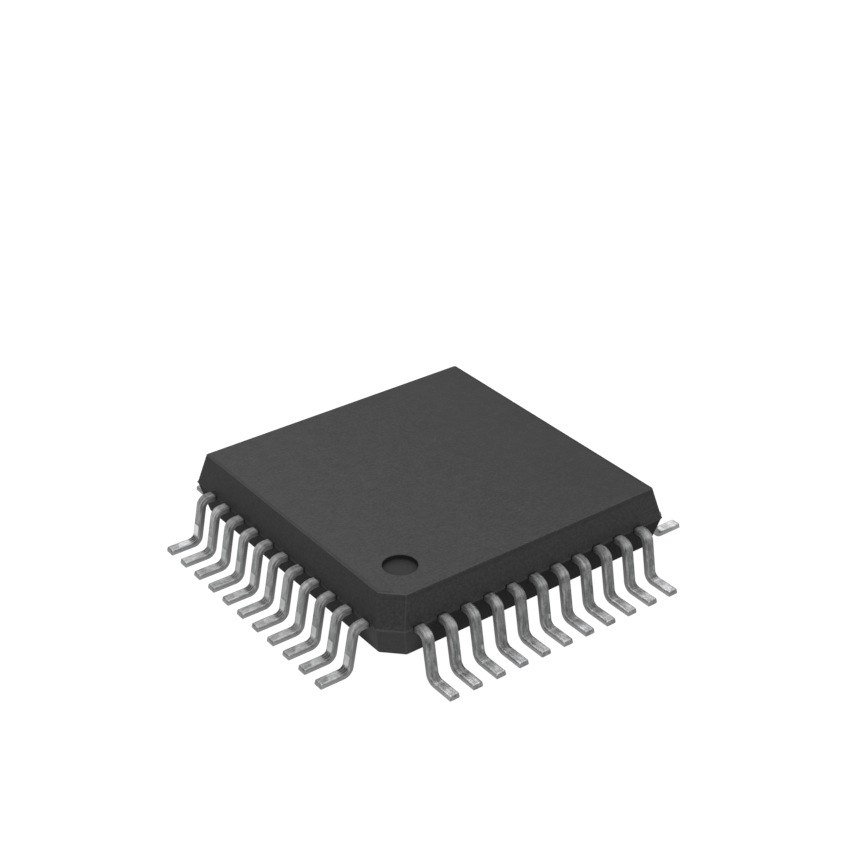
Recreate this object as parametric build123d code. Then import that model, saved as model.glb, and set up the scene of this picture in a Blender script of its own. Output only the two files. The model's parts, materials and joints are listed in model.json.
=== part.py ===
from build123d import *

import math
import os

# A square flat chip package with eleven formed leads on each of its four sides.
# Millimetres, +Z up. The origin is the centre of the footprint, on the plane that the feet stand on.
# The corner with the index mark is at -X, -Y. Leads are numbered anticlockwise from it, seen from above.

# Lead pattern
LEADS_PER_SIDE = 11
PITCH = 0.8
END_MARGIN = 1.0  # from the corner of the body to the middle of the nearest lead

# Sheet that the leads, the die paddle and its tie bars are stamped from
SHEET_THICKNESS = 0.17
LEAD_WIDTH = 0.34

# Gull-wing form of a lead, outside the body
LEAD_REACH = 1.64  # from the body's wall to the tip of the foot
KNEE_REACH = 0.42  # from the body's wall to the corner of the upper bend
RISER_LEAN = 10.6  # degrees that the riser leans out from upright
BEND_RADIUS = 0.165  # inside of both bends

# Moulded body
STANDOFF = 0.45  # air gap under the body
COVER_HEIGHT = 1.0  # above the parting line
BASE_HEIGHT = 1.0  # below the parting line
DRAFT_ANGLE = 13.3
INDEX_CHAMFER = 0.55  # leg of the cut-off index corner
EDGE_RADIUS = 0.03  # around the top and around the underside

# Round index mark in the top
MARK_DIAMETER = 1.0
MARK_DEPTH = 0.15
MARK_INSET = 1.48  # from the two nearest sides of the body to its centre

# Chip and what carries it
DIE_SIZE = 3.8
DIE_THICKNESS = 0.3
GLUE_MARGIN = 0.1  # how far the glue stands out past the die
GLUE_THICKNESS = 0.025
PADDLE_RIM = 0.5  # from the die's edge to the paddle's edge
DOWNSET = 0.2  # how far the paddle lies below the leads
DOWNSET_RUN = 0.3
TIE_LEVEL = 0.25  # level stretch of a tie bar beside the paddle
TIE_WIDTH = 0.24
TIE_COVER = 0.2  # compound left around the end of a tie bar

# Fingers of the leads, inside the body
FINGER_ROOT = 0.4  # straight stretch inside the wall
FINGER_TIP_LENGTH = 0.35
FINGER_TIP_WIDTH = 0.26
FINGER_TIP_GAP = 0.16  # between neighbouring tips
PADDLE_GAP = 0.45  # between the paddle and the tips

# Bond wires
WIRE_THICKNESS = 0.03
PAD_PITCH = 0.3
PAD_INSET = 0.12  # from the die's edge to its bond pads
STITCH_INSET = 0.12  # from the tip of a finger to where the wire lands
LOOP_HEIGHT = 0.2  # above the die

# Sizes that follow from those above
BODY_SIZE = (LEADS_PER_SIDE - 1) * PITCH + 2 * END_MARGIN
HALF_BODY = BODY_SIZE / 2
PARTING_Z = STANDOFF + BASE_HEIGHT
TOP_Z = PARTING_Z + COVER_HEIGHT
SHEET_TOP_Z = PARTING_Z + SHEET_THICKNESS / 2
FOOT_Z = SHEET_THICKNESS / 2
PADDLE_SIZE = DIE_SIZE + 2 * PADDLE_RIM
PADDLE_TOP_Z = SHEET_TOP_Z - DOWNSET
DIE_BOTTOM_Z = PADDLE_TOP_Z + GLUE_THICKNESS
DIE_TOP_Z = DIE_BOTTOM_Z + DIE_THICKNESS
TIP_DISTANCE = PADDLE_SIZE / 2 + PADDLE_GAP
TIP_PITCH = FINGER_TIP_WIDTH + FINGER_TIP_GAP

SIDE_NAMES = ("front", "right", "back", "left")


def place_in_row(index, pitch):
    """Distance of one of a side's leads from the middle of that side."""
    return (index - (LEADS_PER_SIDE - 1) / 2) * pitch


def turned_to(side, shape):
    """A shape modelled on the +X side, turned to the side that it belongs to."""
    return Rot(0, 0, 90 * (side - 1)) * shape


def offset_points(path, distance):
    """Corners of a line that runs beside a bent path, to its left where the distance is positive."""
    points = []
    for i, (x, z) in enumerate(path):
        before = path[i - 1] if i > 0 else None
        after = path[i + 1] if i + 1 < len(path) else None
        come = math.atan2(z - before[1], x - before[0]) if before else None
        go = math.atan2(after[1] - z, after[0] - x) if after else come
        come = go if come is None else come
        middle = (come + go) / 2
        length = distance / math.cos((go - come) / 2)
        points.append((x - length * math.sin(middle), z + length * math.cos(middle)))
    return points


def bend_radii(path, left):
    """Radii along one edge of a bent lead: small on the inside of each bend, larger by the sheet outside."""
    radii = []
    for before, corner, after in zip(path, path[1:], path[2:]):
        ahead = (corner[0] - before[0]) * (after[1] - corner[1])
        across = (corner[1] - before[1]) * (after[0] - corner[0])
        inside = (ahead > across) == left
        radii.append(BEND_RADIUS if inside else BEND_RADIUS + SHEET_THICKNESS)
    return radii


def bent_lead(path):
    """The gull wing: a strip of the sheet that follows a path in the XZ plane with rounded bends."""
    upper_points = offset_points(path, SHEET_THICKNESS / 2)
    lower_points = offset_points(path, -SHEET_THICKNESS / 2)
    upper = FilletPolyline(*upper_points, radius=bend_radii(path, True))
    lower = FilletPolyline(*lower_points, radius=bend_radii(path, False))
    ends = [Line(upper @ 0, lower @ 0), Line(upper @ 1, lower @ 1)]
    profile = make_face([*upper.edges(), *lower.edges(), *ends])
    return extrude(Plane.XZ * profile, amount=LEAD_WIDTH / 2, both=True)


def creased_strip(path, thickness, width):
    """A thin strip that follows a path in the XZ plane with sharp creases."""
    upper = offset_points(path, thickness / 2)
    lower = offset_points(path, -thickness / 2)
    outline = Polyline(*upper, *reversed(lower), close=True)
    return extrude(Plane.XZ * make_face(outline), amount=width / 2, both=True)


def half_body(height):
    """One drafted half of the body with its wide side on Z = 0 and its narrow side's edges rounded."""
    block = extrude(Rectangle(BODY_SIZE, BODY_SIZE), amount=height, taper=DRAFT_ANGLE)
    block -= index_corner(height)
    return fillet(block.faces().sort_by(Axis.Z)[-1].edges(), EDGE_RADIUS)


def index_corner(height):
    """The drafted wedge that cuts off the index corner, with equal legs at every height."""
    inset = height * math.tan(math.radians(DRAFT_ANGLE))
    low = (BODY_SIZE - INDEX_CHAMFER) / math.sqrt(2)
    high = (BODY_SIZE - 2 * inset - INDEX_CHAMFER) / math.sqrt(2)
    outline = Polyline((low, 0), (high, height), (BODY_SIZE, height), (BODY_SIZE, 0), close=True)
    diagonal = Plane(origin=(0, 0, 0), x_dir=(-1, -1, 0), z_dir=(-1, 1, 0))
    return extrude(diagonal * make_face(outline), amount=INDEX_CHAMFER, both=True)


def index_mark():
    """The round recess in the top."""
    recess = Cylinder(MARK_DIAMETER / 2, MARK_DEPTH, align=(Align.CENTER, Align.CENTER, Align.MAX))
    return Pos(MARK_INSET - HALF_BODY, MARK_INSET - HALF_BODY, TOP_Z) * recess


def solid_body():
    """The moulded body before anything inside it is cut out."""
    cover = half_body(COVER_HEIGHT)
    base = mirror(half_body(BASE_HEIGHT), about=Plane.XY)
    return Pos(0, 0, PARTING_Z) * (cover + base) - index_mark()


def lead(index):
    """One lead on the +X side: its finger inside the body and its gull wing outside."""
    wall_place = place_in_row(index, PITCH)
    tip_place = place_in_row(index, TIP_PITCH)
    root = HALF_BODY - FINGER_ROOT
    knee = HALF_BODY + KNEE_REACH
    ankle = knee + (PARTING_Z - FOOT_Z) * math.tan(math.radians(RISER_LEAN))
    path = [(root, PARTING_Z), (knee, PARTING_Z), (ankle, FOOT_Z), (HALF_BODY + LEAD_REACH, FOOT_Z)]
    wing = Pos(0, wall_place, 0) * bent_lead(path)
    bend = TIP_DISTANCE + FINGER_TIP_LENGTH
    half_wall, half_tip = LEAD_WIDTH / 2, FINGER_TIP_WIDTH / 2
    outline = Polyline(
        (root, wall_place + half_wall),
        (bend, tip_place + half_tip),
        (TIP_DISTANCE, tip_place + half_tip),
        (TIP_DISTANCE, tip_place - half_tip),
        (bend, tip_place - half_tip),
        (root, wall_place - half_wall),
        close=True,
    )
    finger = extrude(make_face(outline), amount=SHEET_THICKNESS / 2, both=True)
    return wing + Pos(0, 0, PARTING_Z) * finger


def bond_wire(index):
    """One wire on the +X side: up from a pad on the die, then down to the finger."""
    pad = Vector(DIE_SIZE / 2 - PAD_INSET, place_in_row(index, PAD_PITCH))
    stitch = Vector(TIP_DISTANCE + STITCH_INSET, place_in_row(index, TIP_PITCH))
    span = (stitch - pad).length
    peak_z = DIE_TOP_Z + LOOP_HEIGHT
    fall = (peak_z - SHEET_TOP_Z) / span
    end = (span + WIRE_THICKNESS, SHEET_TOP_Z - fall * WIRE_THICKNESS)
    strip = creased_strip([(0, DIE_TOP_Z), (0, peak_z), end], WIRE_THICKNESS, WIRE_THICKNESS)
    wire = split(strip, bisect_by=Plane.XY.offset(SHEET_TOP_Z), keep=Keep.TOP)
    heading = math.degrees(math.atan2(stitch.Y - pad.Y, stitch.X - pad.X))
    return Pos(pad) * Rot(0, 0, heading) * wire


def tie_bar(reach):
    """A bar along +X that holds the paddle and steps up to the level of the leads."""
    paddle_z = PADDLE_TOP_Z - SHEET_THICKNESS / 2
    corner = PADDLE_SIZE / math.sqrt(2)
    step = corner + TIE_LEVEL
    path = [(corner - TIE_WIDTH, paddle_z), (step, paddle_z), (step + DOWNSET_RUN, PARTING_Z), (reach, PARTING_Z)]
    return creased_strip(path, SHEET_THICKNESS, TIE_WIDTH)


def die_paddle():
    """The plate under the die with a tie bar towards each corner of the body."""
    index_reach = (BODY_SIZE - INDEX_CHAMFER) / math.sqrt(2) - TIE_COVER
    corner_reach = math.sqrt(2) * (HALF_BODY - TIE_COVER) - TIE_WIDTH / 2
    reaches = {45: corner_reach, 135: corner_reach, 225: index_reach, 315: corner_reach}
    plate = Box(PADDLE_SIZE, PADDLE_SIZE, SHEET_THICKNESS, align=(Align.CENTER, Align.CENTER, Align.MAX))
    paddle = Pos(0, 0, PADDLE_TOP_Z) * plate
    for angle, reach in reaches.items():
        paddle += Rot(0, 0, angle) * tie_bar(reach)
    return paddle


def square_plate(size, thickness, bottom):
    """A square plate on the axis of the package."""
    plate = Box(size, size, thickness, align=(Align.CENTER, Align.CENTER, Align.MIN))
    return Pos(0, 0, bottom) * plate


def build():
    """Every piece by its name, with the body cut to fit what it was moulded around."""
    pieces = {}
    for side in range(4):
        for index in range(LEADS_PER_SIDE):
            number = side * LEADS_PER_SIDE + index + 1
            pieces[f"lead_{number:02d}"] = turned_to(side, lead(index))
    pieces["die_paddle"] = die_paddle()
    pieces["die_attach"] = square_plate(DIE_SIZE + 2 * GLUE_MARGIN, GLUE_THICKNESS, PADDLE_TOP_Z)
    pieces["die"] = square_plate(DIE_SIZE, DIE_THICKNESS, DIE_BOTTOM_Z)
    wires = [bond_wire(index) for index in range(LEADS_PER_SIDE)]
    for side, name in enumerate(SIDE_NAMES):
        pieces[f"bond_wires_{name}"] = Compound([turned_to(side, wire).solid() for wire in wires])
    inserts = [solid for piece in pieces.values() for solid in piece.solids()]
    pieces["mould_body"] = solid_body().cut(*inserts)
    return pieces


if __name__ == "__main__":
    os.makedirs("parts", exist_ok=True)
    for name, shape in build().items():
        export_step(shape, f"parts/{name}.step")
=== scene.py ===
"""Dresses a square flat chip package: its moulded body, its tinned leads and what is sealed inside."""

import json
import logging
import math
from dataclasses import dataclass
from enum import Enum
from typing import ClassVar

import bpy
import numpy as np
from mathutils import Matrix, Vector

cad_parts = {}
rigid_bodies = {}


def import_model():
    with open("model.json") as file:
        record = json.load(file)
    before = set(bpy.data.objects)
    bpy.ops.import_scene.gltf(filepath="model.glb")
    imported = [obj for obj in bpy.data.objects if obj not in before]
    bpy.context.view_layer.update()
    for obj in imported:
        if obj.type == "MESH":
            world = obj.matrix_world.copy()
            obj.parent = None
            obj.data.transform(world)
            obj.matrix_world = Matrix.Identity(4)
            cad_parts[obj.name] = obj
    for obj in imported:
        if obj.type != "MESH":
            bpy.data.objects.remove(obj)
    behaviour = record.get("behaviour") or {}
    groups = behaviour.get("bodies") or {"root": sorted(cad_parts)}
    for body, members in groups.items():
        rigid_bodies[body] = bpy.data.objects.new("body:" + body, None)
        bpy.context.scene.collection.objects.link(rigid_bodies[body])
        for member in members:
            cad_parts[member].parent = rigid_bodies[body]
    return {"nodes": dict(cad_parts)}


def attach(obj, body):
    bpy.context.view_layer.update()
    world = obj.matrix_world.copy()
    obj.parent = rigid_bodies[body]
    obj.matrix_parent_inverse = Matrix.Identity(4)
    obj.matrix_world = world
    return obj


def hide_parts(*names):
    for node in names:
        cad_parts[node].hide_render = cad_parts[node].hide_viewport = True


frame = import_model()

LOG = logging.getLogger("chip_package")
MM = 0.001  # metres in a millimetre
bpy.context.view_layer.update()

Span = tuple[float, float]
Triple = tuple[float, float, float]
Colour = tuple[float, float, float, float]
Steps = tuple[float, ...]
Array = np.ndarray
Arrays = tuple[Array, ...]
Piece = bpy.types.Object
Material = bpy.types.Material
SMOOTH = {"interpolation_type": "SMOOTHSTEP"}


# Shader graphs


@dataclass(frozen=True)
class Signal:
    """A number or vector socket of a shader graph that takes part in Python expressions."""

    graph: "Graph"
    socket: bpy.types.NodeSocket

    def __add__(self, other: "Signal | float") -> "Signal":
        """Sum, with the number on either side."""
        return self.graph.math("ADD", self, other)

    __radd__ = __add__

    def __sub__(self, other: "Signal | float") -> "Signal":
        """Difference."""
        return self.graph.math("SUBTRACT", self, other)

    def __rsub__(self, other: float) -> "Signal":
        """Difference from a number on the left."""
        return self.graph.math("SUBTRACT", other, self)

    def __mul__(self, other: "Signal | float") -> "Signal":
        """Product, with the number on either side."""
        return self.graph.math("MULTIPLY", self, other)

    __rmul__ = __mul__

    def __pow__(self, other: "Signal | float") -> "Signal":
        """Power."""
        return self.graph.math("POWER", self, other)

    def step_between(self, low: float, high: float) -> "Signal":
        """A smooth step: 0 up to the low value, 1 from the high one."""
        ends = {"Value": self, "From Min": low, "From Max": high}
        return self.graph.out(self.graph.node("ShaderNodeMapRange", SMOOTH, ends), "Result")

    def window(self, start: float, full: float, fading: float, end: float) -> "Signal":
        """A smooth step up from start to full, times one down from fading to end."""
        return self.step_between(start, full) * (1.0 - self.step_between(fading, end))


Feed = Signal | float | tuple[float, ...]


class Graph:
    """A material's or world's node tree, filled through one node-making method."""

    def __init__(self, tree: bpy.types.NodeTree) -> None:
        """Empties the given tree."""
        self.tree = tree
        tree.nodes.clear()

    def node(self, kind: str, settings: dict[str, str], sockets: dict[str | int, Feed]) -> bpy.types.Node:
        """Adds a node.

        Args:
            kind: the node's type.
            settings: its own options, set first.
            sockets: values or links of its inputs, by name or by number.

        Returns:
            The new node.
        """
        node = self.tree.nodes.new(kind)
        for name, value in settings.items():
            setattr(node, name, value)
        for name, value in sockets.items():
            socket = node.inputs[name]
            if isinstance(value, Signal):
                self.tree.links.new(value.socket, socket)
            else:
                socket.default_value = value
        return node

    def out(self, node: bpy.types.Node, name: str | int) -> Signal:
        """One output of a node as a signal."""
        return Signal(self, node.outputs[name])

    def math(self, operation: str, *terms: Feed) -> Signal:
        """A Math node on one or two numbers or signals."""
        node = self.node("ShaderNodeMath", {"operation": operation}, dict(enumerate(terms)))
        return self.out(node, 0)

    def stretched(self, vector: Signal, scale: Triple) -> Signal:
        """A vector times a scale for each component."""
        return self.out(self.node("ShaderNodeMapping", {}, {"Vector": vector, "Scale": scale}), "Vector")

    def position(self, per_mm: Triple) -> Signal:
        """Object coordinates, times the pattern's repeats in each millimetre."""
        place = self.out(self.node("ShaderNodeTexCoord", {}, {}), "Object")
        return self.stretched(place, tuple(value / MM for value in per_mm))

    def axis(self, vector: Signal, name: str) -> Signal:
        """One component of a vector, by its letter."""
        return self.out(self.node("ShaderNodeSeparateXYZ", {}, {"Vector": vector}), name)

    def surface(self, layer: str, per_mm: Span) -> Signal:
        """The piece's own surface coordinates, times the pattern's repeats along and across."""
        place = self.out(self.node("ShaderNodeUVMap", {"uv_map": layer}, {}), "UV")
        return self.stretched(place, (*per_mm, 1.0))

    def attribute(self, name: str) -> Signal:
        """A number stored on the piece's points."""
        return self.out(self.node("ShaderNodeAttribute", {"attribute_name": name}, {}), "Fac")

    def noise(self, vector: Signal, scale: float, detail: float, roughness: float = 0.5) -> Signal:
        """Fractal noise around 0.5."""
        sockets = {"Vector": vector, "Scale": scale, "Detail": detail, "Roughness": roughness}
        return self.out(self.node("ShaderNodeTexNoise", {}, sockets), "Fac")

    def cells(self, vector: Signal, scale: float) -> Signal:
        """Distance from the nearest of many scattered points."""
        sockets = {"Vector": vector, "Scale": scale}
        return self.out(self.node("ShaderNodeTexVoronoi", {}, sockets), "Distance")

    def mix(self, factor: Feed, first: Feed, second: Feed, blend: str = "MIX") -> Signal:
        """Two colours mixed: the factor says how much of the second lies over the first."""
        settings = {"data_type": "RGBA", "blend_type": blend}
        return self.out(self.node("ShaderNodeMix", settings, {0: factor, 6: first, 7: second}), 2)

    def bump(self, height: Signal, depth_mm: float, strength: float) -> Signal:
        """Normals tilted by a height field of a given depth."""
        sockets = {"Height": height, "Distance": depth_mm * MM, "Strength": strength}
        return self.out(self.node("ShaderNodeBump", {}, sockets), "Normal")


# Finishes


def grey(value: float, warmth: float = 0.0) -> Colour:
    """A grey of a linear brightness, made warmer by more red and less blue."""
    return (value * (1 + warmth), value, value * (1 - warmth), 1.0)


class Finish:
    """A named material whose shader takes its sockets from the finish's own graph."""

    name: str

    def sockets(self, graph: Graph) -> dict[str, Feed]:
        """The values and links of the shader's sockets."""
        raise NotImplementedError

    def material(self) -> Material:
        """Builds the material."""
        material = bpy.data.materials.new(self.name)
        material.use_nodes = True
        graph = Graph(material.node_tree)
        shader = graph.node("ShaderNodeBsdfPrincipled", {}, self.sockets(graph))
        graph.node("ShaderNodeOutputMaterial", {}, {"Surface": graph.out(shader, "BSDF")})
        return material


@dataclass(frozen=True)
class MouldingCompound(Finish):
    """Dark epoxy full of fine silica: matte, finely speckled, with a painted highlight along its edges.

    The brightness values are linear. Patterns are in repeats per millimetre. The cover's heights are those
    between which its wall turns into the level top.
    """

    name: str = "moulding_compound"
    dark: float = 0.0105
    light: float = 0.027
    # brightness of the painted highlight along the edges
    painted_edge_highlight: float = 0.042
    flake: float = 0.06
    shadow: float = 0.0015
    roughness: float = 0.66
    gloss: float = 0.22
    grains: float = 13.0
    coarse_grains: float = 3.9
    clouds: float = 0.5
    flakes: float = 6.5
    flow: Triple = (0.3, 1.5, 1.0)
    cover_heights: Span = (2.4, 2.45)
    grain_depth: float = 0.01

    def sockets(self, graph: Graph) -> dict[str, Feed]:
        """A speckled tone under painted light that falls off along +X on the level top, with painted edge
        highlights, flakes and painted shade.

        Args:
            graph: the material's graph.

        Returns:
            The shader's sockets.
        """
        place = graph.position((1.0, 1.0, 1.0))
        grain = graph.noise(place, self.grains, 2.0)
        coarse = graph.noise(place, self.coarse_grains, 2.0)
        cloud = graph.noise(place, self.clouds, 3.0, 0.55)
        flow = graph.noise(graph.position(self.flow), 1.0, 2.0)
        flake = 1.0 - graph.cells(place, self.flakes).step_between(0.05, 0.2)
        painted_edge_highlight, shaded = graph.attribute("painted_edge_highlight"), graph.attribute("shaded")
        level = graph.axis(place, "Z").step_between(*self.cover_heights)
        # painted light: the level top is lighter towards -X and darker towards +X
        painted_light_falloff = (graph.axis(place, "X") * 0.075 + graph.axis(place, "Y") * 0.008 + 0.1) * level
        speck = (grain.step_between(0.33, 0.67) - 0.5) * (0.5 + level * 0.12)
        patch = (coarse - 0.5) * (0.25 + level * 0.45)
        tone = speck + patch + cloud * 0.3 + flow * 0.16 + 0.25 - painted_light_falloff
        base = graph.mix(tone, grey(self.dark, 0.012), grey(self.light))
        # painted highlight along the rounded edges, the corners and the parting rib
        base = graph.mix(painted_edge_highlight * (0.25 + grain * 0.6), base, grey(self.painted_edge_highlight))
        base = graph.mix(flake * grain.step_between(0.5, 0.62) * 0.22, base, grey(self.flake))
        base = graph.mix(shaded * 0.95, base, grey(self.shadow))
        rough = self.roughness + 0.2 * (grain - 0.5) + 0.12 * (cloud - 0.5) - 0.08 * painted_edge_highlight
        return {
            "Base Color": base,
            "Roughness": rough + 0.17 * shaded,
            "Specular IOR Level": self.gloss,
            "Normal": graph.bump(grain * 0.7 + coarse * 0.3, self.grain_depth, 0.5),
        }


@dataclass(frozen=True)
class TinPlating(Finish):
    """Satin tin over copper alloy: drawn along the lead, pressed lighter by the tool, dull where it is cut.

    The brightness values are linear. Patterns are in repeats per millimetre along and across the lead. Each
    window says at which distances from the tip a thing begins, is whole, begins to fade and ends.
    """

    name: str = "tinned_leads"
    dark: float = 0.035
    light: float = 0.425
    pressed: float = 0.66
    cut: float = 0.2
    lined: float = 0.03
    compound: float = 0.02
    roughness: float = 0.47
    streaks: Span = (2.4, 15.0)
    hairs: Span = (3.5, 28.0)
    clouds: Span = (2.4, 3.2)
    crystals: Span = (20.0, 24.0)
    mottles: Span = (8.0, 10.0)
    lines: Span = (1.6, 21.0)
    riser_patch: Steps = (1.04, 1.16, 1.42, 1.46)
    toe_patch: Steps = (0.28, 0.36, 0.62, 0.74)
    ankle_lines: Steps = (0.66, 0.76, 0.97, 1.08)
    nick: Steps = (1.13, 1.18, 1.26, 1.32)
    compound_film: Span = (2.575, 2.615)
    streak_depth: float = 0.006

    def pattern(self, graph: Graph, repeats: Span, detail: float, roughness: float) -> Signal:
        """Noise over the lead's own surface."""
        return graph.noise(graph.surface("along", repeats), 1.0, detail, roughness)

    def sockets(self, graph: Graph) -> dict[str, Feed]:
        """A streaked tone times the row's painted light and shade, then the tool's marks, painted edge
        light, cut sides with their painted shade, and compound.

        Args:
            graph: the material's graph.

        Returns:
            The shader's sockets.
        """
        streak = self.pattern(graph, self.streaks, 3.0, 0.65)
        hair = self.pattern(graph, self.hairs, 2.0, 0.6)
        cloud = self.pattern(graph, self.clouds, 2.0, 0.5)
        crystal = self.pattern(graph, self.crystals, 2.0, 0.6)
        mottle = self.pattern(graph, self.mottles, 2.0, 0.6)
        line = self.pattern(graph, self.lines, 1.0, 0.5)
        bend, from_tip, across = (graph.attribute(name) for name in ("bend", "from_tip", "across"))
        aside = graph.math("ABSOLUTE", across)
        flat = (1.0 - aside.step_between(0.5, 0.8)) * graph.attribute("through").step_between(0.6, 0.95)
        cut = aside.step_between(0.88, 0.995)
        # painted light and shade along one edge of each lead, not on its cut side
        rim = graph.attribute("to_painted_rim").step_between(0.44, 0.68) * (1.0 - cut)
        riser = from_tip.window(*self.riser_patch)
        toe = (from_tip + across * 0.07 + cloud * 0.16 - 0.08).window(*self.toe_patch)
        ankle = from_tip.window(*self.ankle_lines)
        ripple = graph.math("SINE", across * 14.0 + cloud * 5.0).step_between(-0.1, 0.7)
        nick = from_tip.window(*self.nick) * graph.attribute("nicked") * across.step_between(0.2, 0.4)
        film = from_tip.step_between(*self.compound_film)
        tone = streak + hair * 0.6 + cloud * 0.6 + mottle * 0.3 + crystal * 0.55 - 1.525
        tone = tone * graph.attribute("contrast") + 0.5
        base = graph.mix(tone, grey(self.dark), grey(self.light, -0.01))
        # painted light and shade along the lead, given for each row
        base = graph.mix(1.0, base, graph.attribute("tone"), "MULTIPLY")
        patch = (riser * 1.5 + toe * (mottle * 1.3 - 0.22)) * flat * graph.attribute("pressed")
        patch = patch * (0.45 + cloud * 1.1)
        base = graph.mix(patch + nick * flat, base, grey(self.pressed, -0.012))
        # painted light and shade along that edge
        base = graph.mix(rim, base, graph.attribute("painted_rim_light_shade"), "MULTIPLY")
        lines = ankle * ripple * 0.95 + bend * line.step_between(0.46, 0.56) * 0.3
        lines = lines * graph.attribute("lined") * (1.0 - aside.step_between(0.8, 0.95))
        base = graph.mix(lines, base, grey(self.lined))
        # painted shade on the cut sides, deeper towards the body, with a painted highlight at the knee
        side = graph.mix(1.0, grey(self.cut), graph.attribute("painted_side_light_shade"), "MULTIPLY")
        base = graph.mix(cut * (0.72 + streak * 0.4), base, side)
        base = graph.mix(film * 0.9, base, grey(self.compound))
        rough = self.roughness + 0.16 * (streak - 0.5) + 0.14 * (crystal - 0.5)
        height = streak * 0.3 + hair * 0.25 + crystal * 0.3 + bend * line * 0.5
        return {
            "Base Color": base,
            "Metallic": 1.0,
            "Roughness": rough - 0.06 * patch + 0.1 * cut,
            "Normal": graph.bump(height, self.streak_depth, 0.6),
        }


@dataclass(frozen=True)
class SealedFinish(Finish):
    """A finish of a piece inside the body: two tones in a fine pattern over object coordinates."""

    name: str
    dark: Colour
    light: Colour
    metallic: float
    roughness: float
    grains: float
    stretch: Triple = (1.0, 1.0, 1.0)

    def sockets(self, graph: Graph) -> dict[str, Feed]:
        """A fine grain with slower clouds in it.

        Args:
            graph: the material's graph.

        Returns:
            The shader's sockets.
        """
        place = graph.position(self.stretch)
        grain = graph.noise(place, self.grains, 3.0, 0.6)
        cloud = graph.noise(place, self.grains * 0.12, 2.0)
        tone = (grain * 0.6 + cloud * 0.4).step_between(0.35, 0.65)
        return {
            "Base Color": graph.mix(tone, self.dark, self.light),
            "Metallic": self.metallic,
            "Roughness": self.roughness + 0.15 * (grain - 0.5),
            "Normal": graph.bump(grain, 0.003, 0.5),
        }


class Sealed(Enum):
    """The finishes of the pieces inside the body."""

    LEADFRAME = SealedFinish(
        "leadframe_alloy", (0.42, 0.2, 0.12, 1), (0.62, 0.33, 0.21, 1), 1.0, 0.4, 30.0, (1, 0.1, 1)
    )
    GLUE = SealedFinish("die_glue", (0.3, 0.29, 0.27, 1), (0.52, 0.51, 0.48, 1), 0.6, 0.55, 24.0)
    SILICON = SealedFinish(
        "silicon", (0.035, 0.04, 0.05, 1), (0.12, 0.13, 0.16, 1), 0.5, 0.22, 9.0, (1, 1, 0.2)
    )
    WIRE = SealedFinish("bond_wire", (0.75, 0.5, 0.16, 1), (0.95, 0.7, 0.3, 1), 1.0, 0.25, 40.0)


@dataclass(frozen=True)
class FloorFinish(Finish):
    """A plain pale table that glows a little, as a light table does."""

    name: str = "pale_floor"
    glow: float = 1.0
    tone: float = 0.05

    def sockets(self, graph: Graph) -> dict[str, Feed]:
        """One tone and one glow all over."""
        return {
            "Base Color": grey(self.tone),
            "Roughness": 0.9,
            "Specular IOR Level": 0.0,
            "Emission Color": grey(1.0),
            "Emission Strength": self.glow,
        }


# Meshes


def linked(name: str, data: bpy.types.ID) -> Piece:
    """A new object at the origin, linked into the scene."""
    piece = bpy.data.objects.new(name, data)
    bpy.context.scene.collection.objects.link(piece)
    return piece


@dataclass
class GridMesh:
    """A surface on a grid of rings with as many points each, closed by a single point at each end."""

    name: str
    rings: Array
    poles: Array
    numbers: dict[str, Array]
    surface: Array | None = None

    def build(self, material: Material) -> Piece:
        """Makes the object.

        Point (i, j) of the grid is vertex i * around + j. Quads join each ring to the next and wrap round,
        and fans of triangles join the first and last rings to their poles.

        Args:
            material: what the piece is made of.

        Returns:
            A linked object with smooth faces that point outwards.
        """
        count, around = self.rings.shape[:2]
        points = np.concatenate([self.rings.reshape(-1, 3), self.poles]) * MM
        step = np.arange(around)
        after = (step + 1) % around
        ring = np.arange(count - 1)[:, None] * around
        beyond = ring + around
        quads = np.stack([ring + step, ring + after, beyond + after, beyond + step], -1).reshape(-1, 4)
        start, end = count * around, count * around + 1
        last = (count - 1) * around
        first_fan = np.stack([np.full(around, start), after, step], -1)
        last_fan = np.stack([np.full(around, end), last + step, last + after], -1)
        faces = quads.tolist() + first_fan.tolist() + last_fan.tolist()
        mesh = bpy.data.meshes.new(self.name)
        mesh.from_pydata(points.tolist(), [], faces)
        for name, values in self.numbers.items():
            layer = mesh.attributes.new(name, "FLOAT", "POINT")
            padded = np.concatenate([values.reshape(-1), values[0, :1], values[-1, :1]])
            layer.data.foreach_set("value", padded.astype(np.float32))
        if self.surface is not None:
            self._lay_surface(mesh)
        mesh.polygons.foreach_set("use_smooth", np.ones(len(mesh.polygons), bool))
        mesh.materials.append(material)
        mesh.update()
        return linked(self.name, mesh)

    def _lay_surface(self, mesh: bpy.types.Mesh) -> None:
        """Writes the UV map: the grid's own coordinates, with one column more, so that no seam folds back.

        Args:
            mesh: the new mesh.
        """
        uv = self.surface
        i, j = np.indices((len(uv) - 1, uv.shape[1] - 1)).reshape(2, -1)
        body = np.stack([uv[i, j], uv[i, j + 1], uv[i + 1, j + 1], uv[i + 1, j]], 1).reshape(-1, 2)
        low, low_after = uv[0, :-1], uv[0, 1:]
        high, high_after = uv[-1, :-1], uv[-1, 1:]
        first = np.stack([(low + low_after) / 2, low_after, low], 1).reshape(-1, 2)
        last = np.stack([(high + high_after) / 2, high, high_after], 1).reshape(-1, 2)
        layer = mesh.uv_layers.new(name="along")
        layer.data.foreach_set("uv", np.concatenate([body, first, last]).astype(np.float32).reshape(-1))


def eased(count: int, power: float = 1.6) -> Array:
    """Steps from 0 to 1, closer together at both ends: t goes to t^p / (t^p + (1 - t)^p)."""
    t = np.linspace(0.0, 1.0, count)
    return t**power / (t**power + (1 - t) ** power)


def at_height(plan: Array, height: Array | float) -> Array:
    """Rings of XY points given a height for each ring, or one for all, as a third component."""
    rise = np.broadcast_to(np.asarray(height).reshape(-1, 1, 1), plan.shape[:2] + (1,))
    return np.concatenate([plan, rise], -1)


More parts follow.
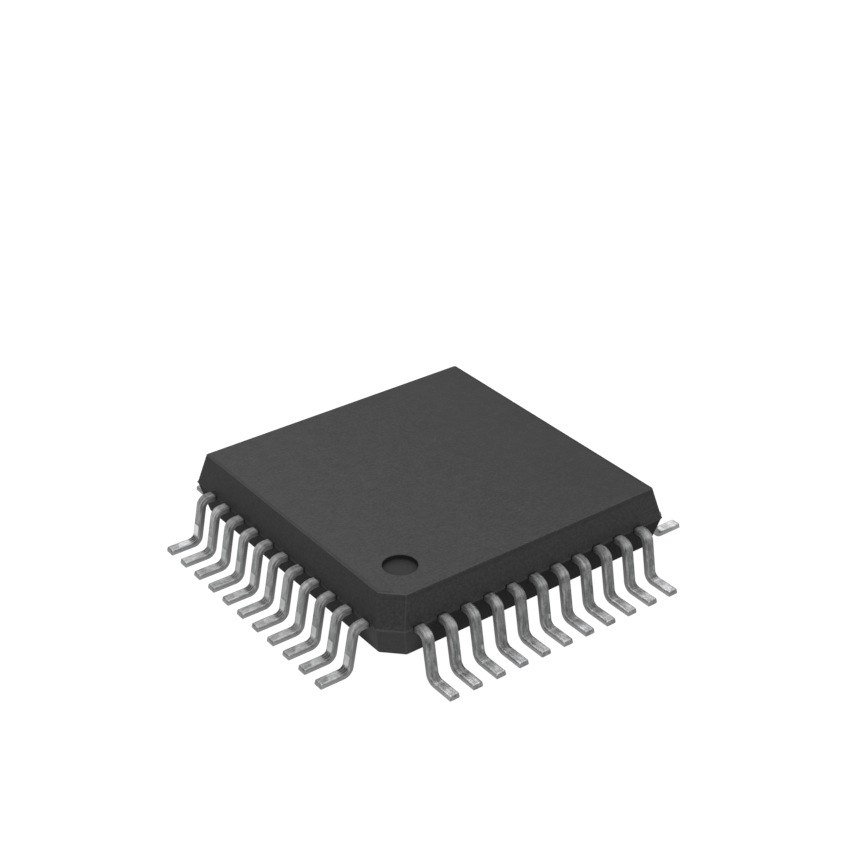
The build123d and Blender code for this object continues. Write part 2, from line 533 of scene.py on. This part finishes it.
@dataclass
class MouldedBody:
    """The moulded block: drafted both ways from its parting line, with a cut corner and a round mark.

    The shares say how far across its own stretch each ring of points lies, and edge_shade how dark each
    ring at the top's edge is.
    """

    finish: MouldingCompound = MouldingCompound()
    half: float = 5.0
    parting: float = 1.45
    top: float = 2.45
    bottom: float = 0.45
    draft: float = math.radians(13.3)
    leg: float = 0.55
    edge: float = 0.03
    corner: float = 0.07
    flash: float = 0.016
    flash_half: float = 0.035
    mark_at: Span = (-3.52, -3.52)
    mark_radius: float = 0.5
    mark_depth: float = 0.15
    lip: float = 0.018
    mark_draft: float = 0.01
    side_points: int = 60
    chamfer_points: int = 8
    corner_points: int = 9
    edge_points: int = 8
    lip_points: int = 6
    flash_steps: Steps = (-0.035, -0.022, -0.01, 0.0, 0.01, 0.022, 0.035)
    under_shares: Steps = (0.3, 0.6, 0.85, 0.97, 0.994)
    wall_shares: Steps = (0.82, 0.91)
    band_shares: Steps = (0.003, 0.008, 0.015, 0.024)
    top_shares: Steps = (0.1, 0.3, 0.6, 0.85, 0.96, 0.99)
    mark_floor_radii: Steps = (0.4, 0.25, 0.1)
    edge_shade: Steps = (0.05, 0.15, 0.3, 0.34, 0.25, 0.1)

    def section(self) -> Arrays:
        """The side view of the wall, from the underside's edge up to the top's edge.

        An arc of radius r joins each level face to the wall and turns from straight down, or up, to the
        wall's normal. The wall leans by the draft and runs straight to the parting line, where a low round
        rib stands out by f * cos^2.

        Returns:
            Distance from the axis, height, and how strong the painted edge highlight is at each point.
        """
        lean = math.tan(self.draft)
        reach = self.edge * math.tan((math.pi / 2 - self.draft) / 2)
        turn = np.linspace(-math.pi / 2, -self.draft, self.edge_points)
        low = self.half - (self.parting - self.bottom) * lean
        low_out = low - reach + self.edge * np.cos(turn)
        low_up = self.bottom + self.edge + self.edge * np.sin(turn)
        high = self.half - (self.top - self.parting) * lean
        high_out = (high - reach + self.edge * np.cos(turn))[::-1]
        high_up = (self.top - self.edge - self.edge * np.sin(turn))[::-1]
        rib = np.array(self.flash_steps)
        ribbed = np.cos(rib / self.flash_half * math.pi / 2)
        rib_out = self.half - np.abs(rib) * lean + self.flash * ribbed**2
        rib_low, rib_high = self.parting - self.flash_half, self.parting + self.flash_half
        base_up = low_up[-1] + (rib_low - low_up[-1]) * eased(7)[1:-1]
        base_out = self.half - (self.parting - base_up) * lean
        rise = np.concatenate([eased(5)[1:-1] * 0.8, self.wall_shares])
        cover_up = rib_high + (high_up[0] - rib_high) * rise
        cover_out = self.half - (cover_up - self.parting) * lean
        out = np.concatenate([low_out, base_out, rib_out, cover_out, high_out])
        up = np.concatenate([low_up, base_up, self.parting + rib, cover_up, high_up])
        # painted highlight on the two rounded edges and on the parting rib
        bow = np.sin(np.linspace(0, math.pi, self.edge_points))
        painted_edge_highlight = np.concatenate([bow * 0.5, 0 * base_up, 0.95 * ribbed, 0 * rise, bow])
        return out, up, painted_edge_highlight

    def outline(self, out: Array) -> Arrays:
        """The plan view at each height: a square of half-width h with one corner cut by equal legs.

        Each side runs straight between its corners' arcs. An arc of radius r turns by its corner's angle
        about a centre that lies r inside both sides.

        Args:
            out: half-width at each height.

        Returns:
            Points (height, around, XY) and how strong the painted edge highlight is in each column.
        """
        h = out[:, None]
        places = [(self.leg - h, -h), (h, -h), (h, h), (-h, h), (-h, self.leg - h)]
        corner = np.stack([np.concatenate(pair, 1) for pair in places], 1)
        heading = np.radians([-45.0, 0.0, 90.0, 180.0, 270.0])
        turns = (np.roll(heading, -1) - heading) % (2 * math.pi)
        cuts = self.corner * np.tan(turns / 2)
        sweep = np.linspace(0, 1, self.corner_points)
        columns, painted_edge_highlight = [], []
        sides = [(1.0, self.side_points)] * 4 + [(0.3, self.chamfer_points)]
        for k, (corner_highlight, count) in enumerate(sides):
            following = (k + 1) % len(places)
            go = heading[following]
            ahead = np.array([math.cos(go), math.sin(go)])
            arc = heading[k] - math.pi / 2 + turns[k] * sweep
            tangent = corner[:, k] + cuts[k] * ahead
            centre = tangent + self.corner * np.array([-math.sin(go), math.cos(go)])
            ring = np.stack([np.cos(arc), np.sin(arc)], -1) * self.corner
            columns.append(centre[:, None] + ring[None])
            # painted highlight round each corner, weaker on the cut corner
            painted_edge_highlight.append(np.sin(math.pi * sweep) * corner_highlight)
            end = corner[:, following] - cuts[following] * ahead
            share = eased(count + 2, 1.15)[1:-1]
            columns.append(tangent[:, None] + (end - tangent)[:, None] * share[None, :, None])
            painted_edge_highlight.append(np.zeros(count))
        return np.concatenate(columns, 1), np.concatenate(painted_edge_highlight)

    def mark(self, spoke: Array) -> Arrays:
        """The round mark: circles down a rounded lip, a drafted wall, a rounded foot and the floor.

        Args:
            spoke: the direction of each point of a circle.

        Returns:
            Points (circle, around, XYZ) and the circles' radii.
        """
        turn = np.linspace(0, math.pi / 2, self.lip_points)
        floor = self.top - self.mark_depth
        lip_radius = self.mark_radius + self.lip * (1 - np.sin(turn))
        wall_radius = self.mark_radius - self.mark_draft * np.array([0.4, 0.8])
        foot_radius = self.mark_radius - self.mark_draft - self.lip * (1 - np.cos(turn[1:]))
        radius = np.concatenate([lip_radius, wall_radius, foot_radius, self.mark_floor_radii])
        lip_height = self.top - self.lip * (1 - np.cos(turn))
        wall_height = np.array([self.top - self.mark_depth * 0.4, floor + self.lip * 1.6])
        foot_height = floor + self.lip * (1 - np.sin(turn[1:]))
        floor_height = np.full(len(self.mark_floor_radii), floor)
        height = np.concatenate([lip_height, wall_height, foot_height, floor_height])
        return at_height(np.array(self.mark_at) + radius[:, None, None] * spoke, height), radius

    def grid(self) -> GridMesh:
        """The whole surface, from the middle of the underside round to the middle of the mark's floor.

        The underside's rings are the lowest outline scaled about the axis. The top's run straight from the
        highest outline to the circle of the mark's lip, each point to the circle's at its own bearing.

        Returns:
            The grid with its numbers for the shader.
        """
        out, up, highlight_up = self.section()
        plan, highlight_round = self.outline(out)
        walls = at_height(plan, up)
        under = at_height(plan[:1] * np.array(self.under_shares)[:, None, None], self.bottom)
        centre = np.array(self.mark_at)
        bearing = np.arctan2(plan[-1, :, 1] - centre[1], plan[-1, :, 0] - centre[0])
        spoke = np.stack([np.cos(bearing), np.sin(bearing)], -1)
        rim = centre + (self.mark_radius + self.lip) * spoke
        inner = plan[-1] * (1 - np.array(self.band_shares)[:, None, None])
        share = np.array(self.top_shares)[:, None, None]
        flat = np.concatenate([inner, inner[-1] * (1 - share) + rim * share])
        mark, radius = self.mark(spoke)
        rings = np.concatenate([under, walls, at_height(flat, self.top), mark])
        first, last = len(under), len(under) + len(walls)
        # painted highlight on the walls' rounded edges and corners, and on the parting rib only near the
        # cut corner
        painted_edge_highlight = np.zeros(rings.shape[:2])
        is_wall = np.abs(up - (self.top + self.bottom) / 2) < (self.top - self.bottom) / 2 - self.edge * 0.3
        painted_edge_highlight[first:last] = np.maximum(highlight_up[:, None], 0.8 * highlight_round * is_wall[:, None])
        from_cut = (rings[..., 0] + rings[..., 1] + 2 * self.half - self.leg) / math.sqrt(2)
        on_flash = np.abs(rings[..., 2] - self.parting) < 0.05
        painted_edge_highlight *= 1.0 - 0.85 * np.clip((from_cut - 0.3) / 0.3, 0, 1) * on_flash
        poles = np.array([[0.0, 0.0, self.bottom], [*centre, self.top - self.mark_depth]])
        numbers = {"painted_edge_highlight": painted_edge_highlight, "shaded": self.shade(rings, from_cut, radius, last)}
        return GridMesh("moulded_body", rings, poles, numbers)

    def shade(self, rings: Array, from_cut: Array, radius: Array, last: int) -> Array:
        """How dark each point is: the base between the leads, the mark's wall and floor, the top's edges.

        Args:
            rings: the grid's points.
            from_cut: each point's distance from the cut corner's face.
            radius: the radii of the mark's circles, which are the last rings.
            last: number of the first ring above the walls.

        Returns:
            A number from 0 to 1 for each point.
        """
        below = np.clip((self.parting - rings[..., 2]) / 0.03, 0, 1)
        shaded = below * np.clip((from_cut - 0.35) / 0.4, 0, 1)
        stops = (0.1, 0.3, self.mark_radius - 0.03, self.mark_radius)
        shaded[-len(radius) :] = np.interp(radius, stops, (0.33, 0.38, 0.5, 0.83))[:, None]
        shaded[-len(radius) : -len(radius) + self.lip_points - 1] = 0.0
        leftward = np.abs(rings[..., 0]) > np.abs(rings[..., 1])
        reach = len(self.edge_shade) // 2
        edge = slice(last - reach, last + reach)
        shaded[edge] += np.array(self.edge_shade)[:, None] * leftward[edge]
        under_edge = last - self.edge_points - 1
        shaded[under_edge] += 0.22 * ~leftward[under_edge]
        return shaded

    def dress(self) -> int:
        """Builds the block in place of its plain solid.

        Returns:
            How many faces it has.
        """
        piece = self.grid().build(self.finish.material())
        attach(piece, "root")
        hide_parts("mould_body")
        LOG.info("moulded body: %d faces", len(piece.data.polygons))
        return len(piece.data.polygons)


@dataclass(frozen=True)
class Band:
    """A soft band of painted highlight across a lead, painted shade where the strength is below 0: strength
    * exp(-((d - place) / width)^2), with d from the tip.
    """

    place: float
    width: float
    strength: float

    def at(self, distance: Array) -> Array:
        """The band's tone at distances from the tip."""
        return self.strength * np.exp(-(((distance - self.place) / self.width) ** 2))


@dataclass(frozen=True)
class RowPlatingAndLight:
    """How one side's leads came out of tinning and forming, with the painted light and shade of that side.

    foot and riser are the painted light on their upper face, which bands of painted highlight and painted
    shade are added to. pressed, nicked and lined are how strong the tool's bright patches, its small marks
    and the fine dark lines in the lower bend are. The next two give the side of the lead, 1 or -1, whose
    edge carries painted light and shade, and how bright that edge is on the foot, riser and knee. sides is
    the brightness of the cut sides, which a painted highlight at the knee is added to, and end how much
    painted shade darkens the cut end.
    """

    foot: float
    riser: float
    bands: tuple[Band, ...]
    pressed: float
    nicked: float
    lined: float
    painted_rim_side: int
    painted_rim_light_shade: Triple
    knee: Band
    sides: float
    end: float
    contrast: float

    def tone(self, distance: Array) -> Array:
        """Painted light and shade on the upper face: foot + (riser - foot) * (1 + tanh((d - 0.95) / 0.08))
        / 2, plus the bands.
        """
        turned = 0.5 + 0.5 * np.tanh((distance - 0.95) / 0.08)
        return self.foot + (self.riser - self.foot) * turned + sum(band.at(distance) for band in self.bands)

    def painted_side_light_shade(self, distance: Array) -> Array:
        """Cut sides: painted shade that deepens towards the body, 1.51 - 0.45 * d, plus a painted highlight
        at the knee, all times their own brightness.
        """
        return self.sides * (1.51 - 0.45 * distance + self.knee.at(distance))

    def edge_tone(self, distance: Array) -> Array:
        """Painted light and shade along one edge: the foot's up to 1.0, the riser's from 1.2 to 1.95 and
        the knee's from 2.12.
        """
        foot, riser, knee = self.painted_rim_light_shade
        return np.interp(distance, (1.0, 1.2, 1.95, 2.12), (foot, riser, riser, knee))


# painted light and shade of the lit row: brighter risers, a painted highlight at the knees, painted shade
# in the ankle hollow
LIT_ROW = RowPlatingAndLight(
    foot=1.07,
    riser=1.32,
    bands=(
        Band(0.67, 0.05, 0.33), Band(0.83, 0.07, -0.52), Band(1.05, 0.07, 0.75),
        Band(2.19, 0.06, 0.8), Band(2.365, 0.055, -0.7), Band(2.61, 0.08, -0.25),
    ),
    pressed=1.0,
    nicked=0.0,
    lined=1.0,
    painted_rim_side=1,
    painted_rim_light_shade=(0.95, 0.78, 0.4),
    knee=Band(2.38, 0.21, 0.74),
    sides=0.98,
    end=1.0,
    contrast=0.9,
)
# painted light and shade of the shaded row: darker risers, with its own bands of painted highlight and
# painted shade
SHADED_ROW = RowPlatingAndLight(
    foot=1.2,
    riser=0.75,
    bands=(
        Band(0.24, 0.16, 0.65), Band(0.68, 0.045, 0.85), Band(0.87, 0.085, -0.75), Band(1.05, 0.08, 0.18),
        Band(2.2, 0.06, 0.68), Band(2.34, 0.04, -0.2), Band(2.48, 0.07, 0.55),
    ),
    pressed=0.0,
    nicked=0.8,
    lined=0.3,
    painted_rim_side=-1,
    painted_rim_light_shade=(1.05, 1.35, 0.5),
    knee=Band(2.32, 0.23, 0.74),
    sides=1.08,
    end=0.7,
    contrast=1.1,
)


class Side(Enum):
    """The four sides in the leads' order of numbers: turn about the axis in degrees, and how the leads are
    tinned, with the side's painted light and shade.
    """

    FRONT = (-90.0, SHADED_ROW)
    RIGHT = (0.0, SHADED_ROW)
    BACK = (90.0, LIT_ROW)
    LEFT = (180.0, LIT_ROW)

    @property
    def turn(self) -> float:
        """Turn about the axis, in radians."""
        return math.radians(self.value[0])

    @property
    def plating(self) -> RowPlatingAndLight:
        """How this side's leads came out, with their painted light and shade."""
        return self.value[1]


@dataclass(frozen=True)
class LeadDraw:
    """What chance gives one lead: its place in the plating's pattern and the strength of its tones."""

    along: float
    across: float
    pressed: float
    tone: float
    nicked: float

    LOWEST: ClassVar[Steps] = (0, 0, 0.25, 0.92, 0.0)
    HIGHEST: ClassVar[Steps] = (40, 40, 1.4, 1.08, 1.0)
    PRESSED_MOST: ClassVar[float] = 0.8

    @classmethod
    def next_of(cls, generator: np.random.Generator) -> "LeadDraw":
        """Draws the next lead's values, evenly between the lowest and the highest."""
        return cls(*generator.uniform(cls.LOWEST, cls.HIGHEST))


@dataclass
class LeadSet:
    """The leads: a flat strip with eased edges, carried along its finger, shoulder, riser and foot.

    The steps are distances out from the wall. The shares say how far along its stretch each station lies.
    end_run is how far the pattern runs on for each radian of the strip's closing round its end.
    """

    finish: TinPlating = TinPlating()
    half_body: float = 5.0
    a_side: int = 11
    pitch: float = 0.8
    width: float = 0.34
    sheet: float = 0.17
    level: float = 1.45
    reach: float = 1.64
    knee: float = 0.42
    lean: float = math.radians(10.6)
    bend: float = 0.165
    root: float = 0.4
    tip_distance: float = 2.85
    tip_length: float = 0.35
    tip_width: float = 0.26
    tip_pitch: float = 0.42
    upper_edge: float = 0.06
    under_edge: float = 0.035
    tip_upper_ease: float = 0.05
    tip_under_ease: float = 0.012
    end_run: float = 0.1
    bend_stations: int = 11
    end_stations: int = 6
    edge_points: int = 5
    seed: int = 44
    shoulder_steps: Steps = (-0.1, 0.02, 0.12)
    riser_shares: Steps = (0.02, 0.25, 0.5, 0.75, 0.98)
    toe_shares: Steps = (0.02, 0.09, 0.16, 0.24, 0.36, 0.5, 0.65, 0.8, 0.9, 0.97)
    flat_shares: Steps = (0.05, 0.95)

    def arc(self, corner: Span, come: float, go: float) -> Arrays:
        """The middle line of one bend.

        A circle of radius R touches both runs at R * tan(turn / 2) from their corner.

        Args:
            corner: where the two runs would meet.
            come: heading before the bend.
            go: heading after it.

        Returns:
            Points and headings.
        """
        radius = self.bend + self.sheet / 2
        turn = go - come
        side = math.copysign(1.0, turn)
        cut = radius * math.tan(abs(turn) / 2)
        start = np.array(corner) - cut * np.array([math.cos(come), math.sin(come)])
        centre = start + side * radius * np.array([-math.sin(come), math.cos(come)])
        heading = np.linspace(come, go, self.bend_stations)
        points = centre + side * radius * np.stack([np.sin(heading), -np.cos(heading)], -1)
        return points, heading

    def stations(self, index: int) -> dict[str, Array]:
        """Where the strip's cross-section goes along one lead.

        Args:
            index: the lead's place in its row, from 0.

        Returns:
            Distance out, place along the side, height, heading, half-width, distance travelled, how far the
            station is in a bend, and the angle by which the strip has closed round its end.
        """
        from_middle = index - (self.a_side - 1) / 2
        foot = self.sheet / 2
        knee = self.half_body + self.knee
        ankle = knee + (self.level - foot) * math.tan(self.lean)
        down = self.lean - math.pi / 2
        end = self.half_body + self.reach
        finger = self.tip_distance + np.array([0.0, self.tip_under_ease, self.tip_length])
        shoulder = self.half_body + np.array([-self.root, *self.shoulder_steps])
        upper, upper_heading = self.arc((knee, self.level), 0.0, down)
        lower, lower_heading = self.arc((ankle, foot), down, 0.0)
        riser = upper[-1] + (lower[0] - upper[-1]) * np.array(self.riser_shares)[:, None]
        toes = lower[-1, 0] + (end - self.tip_upper_ease - lower[-1, 0]) * np.array(self.toe_shares)
        tip = np.full(self.end_stations, end)
        level_count, foot_count = len(finger) + len(shoulder), len(toes) + len(tip)
        out = np.concatenate([finger, shoulder, upper[:, 0], riser[:, 0], lower[:, 0], toes, tip])
        level, ground = np.full(level_count, self.level), np.full(foot_count, foot)
        up = np.concatenate([level, upper[:, 1], riser[:, 1], lower[:, 1], ground])
        before, falling, after = np.zeros(level_count), np.full(len(riser), down), np.zeros(foot_count)
        heading = np.concatenate([before, upper_heading, falling, lower_heading, after])
        is_finger = np.arange(len(out)) < len(finger)
        along = from_middle * np.where(is_finger, self.tip_pitch, self.pitch)
        half = np.where(is_finger, self.tip_width, self.width) / 2
        travelled = np.concatenate([[0.0], np.cumsum(np.hypot(np.diff(out), np.diff(up)))])
        bow = np.sin(np.linspace(0, math.pi, self.bend_stations)) ** 0.5
        bent = np.concatenate([before, bow, np.zeros(len(riser)), bow, after])
        closing = np.zeros(len(out))
        closing[0] = math.pi / 2
        closing[-self.end_stations :] = np.linspace(0, math.pi / 2, self.end_stations)
        place = {"out": out, "along": along, "up": up, "heading": heading, "half": half}
        return place | {"travelled": travelled, "bent": bent, "closing": closing}

    def cross_section(self, half: Array, closing: Array) -> Arrays:
        """The strip's outline: flat faces joined by quarter-rounds, larger on the upper face than under it.

        Each flat face gets a point near each of its ends, so that it is shaded flat. Where the strip closes
        round its end by an angle, the outline is drawn in by r * (1 - cos) and lies r * (1 - sin) short of
        the end, with an r of its own for the upper and the under edges.

        Args:
            half: half-width at each station.
            closing: the angle at each station, 0 away from the two ends.

        Returns:
            Offsets across the width, across the sheet and back along the strip, one row for each station.
        """
        turn = np.linspace(0, math.pi / 2, self.edge_points)
        quarter = np.stack([np.cos(turn), np.sin(turn)], -1)
        signs = np.array([[1, 1], [-1, 1], [-1, -1], [1, -1]])
        quarters = [quarter, quarter[::-1]] * 2
        wide, thick = np.concatenate([sign * part for sign, part in zip(signs, quarters)]).T
        left, over = np.repeat(signs, self.edge_points, 0).T
        ease = np.where(over > 0, self.tip_upper_ease, self.tip_under_ease)
        inset = ease * (1 - np.cos(closing))[:, None]
        at_end = np.arange(len(closing)) >= len(closing) - self.end_stations
        back = ease * ((1 - np.sin(closing)) * at_end)[:, None]
        easing = np.where(over > 0, self.upper_edge, self.under_edge) - inset * 0.6
        across = left * (half[:, None] - inset - easing) + easing * wide
        through = over * (self.sheet / 2 - inset - easing) + easing * thick
        return tuple(self._held_flat(values) for values in (across, through, back))

    def _held_flat(self, values: Array) -> Array:
        """Adds two points to each flat stretch between the four quarter-rounds, close to its ends."""
        arcs = values.reshape(len(values), 4, self.edge_points)
        start, end = arcs[..., -1:], np.roll(arcs, -1, 1)[..., :1]
        flats = start + (end - start) * np.array(self.flat_shares)
        return np.concatenate([arcs, flats], -1).reshape(len(values), -1)

    def grid(self, name: str, side: Side, index: int, draw: LeadDraw) -> GridMesh:
        """One lead's surface.

        At each station the outline stands square to the heading: its width runs along the side of the body
        and its thickness along the heading's normal. The result is turned about the axis to its own side.

        Args:
            name: the piece's name.
            side: which side it stands on.
            index: its place in the row.
            draw: what chance gives it.

        Returns:
            The grid with its numbers and surface coordinates for the shader.
        """
        at = self.stations(index)
        across, through, back = self.cross_section(at["half"], at["closing"])
        tilt = at["heading"][:, None]
        x = at["out"][:, None] - np.sin(tilt) * through - back
        y = at["along"][:, None] + across
        z = at["up"][:, None] + np.cos(tilt) * through
        cos, sin = math.cos(side.turn), math.sin(side.turn)
        spin = np.array([[cos, -sin, 0], [sin, cos, 0], [0, 0, 1]])
        rings = np.stack([x, y, z], -1) @ spin.T
        poles = np.stack([at["out"], at["along"], at["up"]], -1)[[0, -1]] @ spin.T
        half = at["half"][:, None]
        widest = int(np.argmax(half))
        wide, thick = across[widest], through[widest]
        edge_length = np.hypot(np.diff(wide, append=wide[0]), np.diff(thick, append=thick[0]))
        girth = np.concatenate([[0.0], np.cumsum(edge_length)])
        reached = at["travelled"] + self.end_run * at["closing"] + draw.along
        surface = np.stack(np.broadcast_arrays(reached[:, None], girth[None] + draw.across), -1)
        from_tip = at["travelled"][-1] - at["travelled"]
        plating = side.plating
        # painted shade on the cut end, as strong as the row's end says
        painted_end_shade = 1.0 - (1.0 - plating.end) * np.sin(at["closing"])
        numbers = {
            "from_tip": from_tip[:, None],
            "bend": at["bent"][:, None],
            "across": across / half,
            # which edge carries the painted light and shade
            "to_painted_rim": plating.painted_rim_side * across / half,
            "through": through / (self.sheet / 2),
            "pressed": plating.pressed * min(draw.pressed, draw.PRESSED_MOST),
            # painted light and shade along the lead, times each lead's own tone
            "tone": (plating.tone(from_tip) * draw.tone * painted_end_shade)[:, None],
            # painted shade and highlight on the cut sides
            "painted_side_light_shade": plating.painted_side_light_shade(from_tip)[:, None],
            "nicked": plating.nicked * draw.nicked,
            "contrast": plating.contrast,
            "lined": plating.lined * min(draw.pressed, 1.0),
            # painted light and shade on that edge
            "painted_rim_light_shade": plating.edge_tone(from_tip)[:, None],
        }
        numbers = {key: np.broadcast_to(value, x.shape) for key, value in numbers.items()}
        return GridMesh(name, rings, poles, numbers, surface)

    def dress(self) -> int:
        """Builds every lead in place of its plain solid.

        Returns:
            How many leads were built.
        """
        material = self.finish.material()
        generator = np.random.default_rng(self.seed)
        number = 0
        for side in Side:
            for index in range(self.a_side):
                number += 1
                draw = LeadDraw.next_of(generator)
                piece = self.grid(f"plated_lead_{number:02d}", side, index, draw).build(material)
                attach(piece, "root")
                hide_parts(f"lead_{number:02d}")
            LOG.info("%s leads: %d built", side.name.lower(), self.a_side)
        return number


class SealedPieces:
    """The chip, what carries it and its wires, which keep their solids and get finishes of their own."""

    FINISHES: ClassVar[dict[str, Sealed]] = {
        "die_paddle": Sealed.LEADFRAME,
        "die_attach": Sealed.GLUE,
        "die": Sealed.SILICON,
    } | {f"bond_wires_{side.name.lower()}": Sealed.WIRE for side in Side}

    def dress(self, nodes: dict[str, Piece]) -> int:
        """Gives each sealed piece its finish.

        Args:
            nodes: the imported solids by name.

        Returns:
            How many pieces were dressed.
        """
        made = {finish: finish.value.material() for finish in Sealed}
        for name, finish in self.FINISHES.items():
            for slot in nodes[name].material_slots:
                slot.material = made[finish]
            LOG.info("%s: %s", name, finish.value.name)
        return len(self.FINISHES)


# The studio


@dataclass(frozen=True)
class Glow:
    """A soft bright region of the surroundings, as a diffuser gives: strength * cos(angle) ^ spread."""

    towards: Triple
    spread: float
    strength: float


@dataclass
class Studio:
    """The camera, a pale table and a surrounding tent of soft light with a few broad bright regions."""

    finish: FloorFinish = FloorFinish()
    camera_at: Triple = (-27.017, -36.112, 30.094)
    looks_back: Triple = (-0.5182, -0.6936, 0.5004)
    lens: float = 75.155
    sensor: float = 36.0
    clip: Span = (1.0, 10000.0)
    floor_half: float = 1500.0
    floor_drop: float = 0.001
    backdrop_radius: float = 700.0
    backdrop_height: float = 700.0
    backdrop_faces: int = 64
    fill: float = 0.04
    overhead: Glow = Glow((0.0, 0.0, 1.0), 4.0, 3.75)
    back: Glow = Glow((0.52, 0.69, 0.5), 6.0, 1.6)
    front: Glow = Glow((-0.52, -0.69, 0.5), 6.0, 1.6)
    left: Glow = Glow((-0.6, 0.7, 0.35), 6.0, 0.35)
    right: Glow = Glow((0.6, -0.7, 0.35), 6.0, 0.6)

    def set_up(self) -> None:
        """Places everything."""
        self._place_camera()
        self._lay_floor()
        self._raise_backdrop()
        self._light()
        settings = bpy.context.scene.view_settings
        settings.view_transform = "Standard"
        settings.look = "None"

    def _place_camera(self) -> None:
        """A camera at the photograph's angle, distance and lens."""
        data = bpy.data.cameras.new("camera")
        data.sensor_width = self.sensor
        data.lens = self.lens
        data.clip_start, data.clip_end = (distance * MM for distance in self.clip)
        camera = linked("camera", data)
        camera.location = Vector(self.camera_at) * MM
        camera.rotation_mode = "QUATERNION"
        camera.rotation_quaternion = (-Vector(self.looks_back)).to_track_quat("-Z", "Y")
        bpy.context.scene.camera = camera

    def _plain_piece(self, name: str, points: Array, faces: Array) -> Piece:
        """Makes a piece of the studio.

        Args:
            name: its name.
            points: its corners, in millimetres.
            faces: the corners of each face.

        Returns:
            The linked object.
        """
        mesh = bpy.data.meshes.new(name)
        mesh.from_pydata((points * MM).tolist(), [], faces.tolist())
        mesh.materials.append(self.finish.material())
        return linked(name, mesh)

    def _lay_floor(self) -> None:
        """A large flat table just under the feet."""
        signs = np.array([(-1, -1), (1, -1), (1, 1), (-1, 1)])
        corners = np.insert(signs * self.floor_half, 2, -self.floor_drop, axis=1)
        floor = self._plain_piece("floor", corners, np.arange(4)[None])

    def _raise_backdrop(self) -> None:
        """A round wall on the table, which only the camera sees, so that it takes part in no lighting.

        Its points lie on a circle of radius R at heights 0 and H, and its faces look inwards.
        """
        count = self.backdrop_faces
        bearing = np.linspace(0, 2 * math.pi, count, endpoint=False)
        ring = np.stack([np.cos(bearing), np.sin(bearing), 0 * bearing], -1) * self.backdrop_radius
        points = np.concatenate([ring, ring + [0.0, 0.0, self.backdrop_height]])
        step = np.arange(count)
        after = (step + 1) % count
        faces = np.stack([after, step, step + count, after + count], -1)
        wall = self._plain_piece("backdrop", points, faces)
        for rays in ("diffuse", "glossy", "transmission", "shadow"):
            setattr(wall, f"visible_{rays}", False)

    def _light(self) -> None:
        """An even pale surrounding with the broad bright regions added to it."""
        world = bpy.data.worlds.new("surroundings")
        world.use_nodes = True
        graph = Graph(world.node_tree)
        towards = graph.out(graph.node("ShaderNodeTexCoord", {}, {}), "Generated")
        light: Feed = self.fill
        for glow in (self.overhead, self.back, self.front, self.left, self.right):
            axis = tuple(Vector(glow.towards).normalized())
            facing = graph.node("ShaderNodeVectorMath", {"operation": "DOT_PRODUCT"}, {0: towards, 1: axis})
            cosine = graph.math("MAXIMUM", graph.out(facing, "Value"), 0.0)
            light = light + cosine**glow.spread * glow.strength
        shader = graph.node("ShaderNodeBackground", {}, {"Color": grey(1.0), "Strength": light})
        graph.node("ShaderNodeOutputWorld", {}, {"Surface": graph.out(shader, "Background")})
        bpy.context.scene.world = world


def main() -> None:
    """Builds the chip package in order and reports each part of it."""
    logging.basicConfig(level=logging.INFO, format="%(name)s: %(message)s")
    Studio().set_up()
    faces = MouldedBody().dress()
    leads = LeadSet().dress()
    sealed = SealedPieces().dress(frame["nodes"])
    LOG.info("package dressed: body of %d faces, %d leads, %d sealed pieces", faces, leads, sealed)


if __name__ == "__main__":
    main()
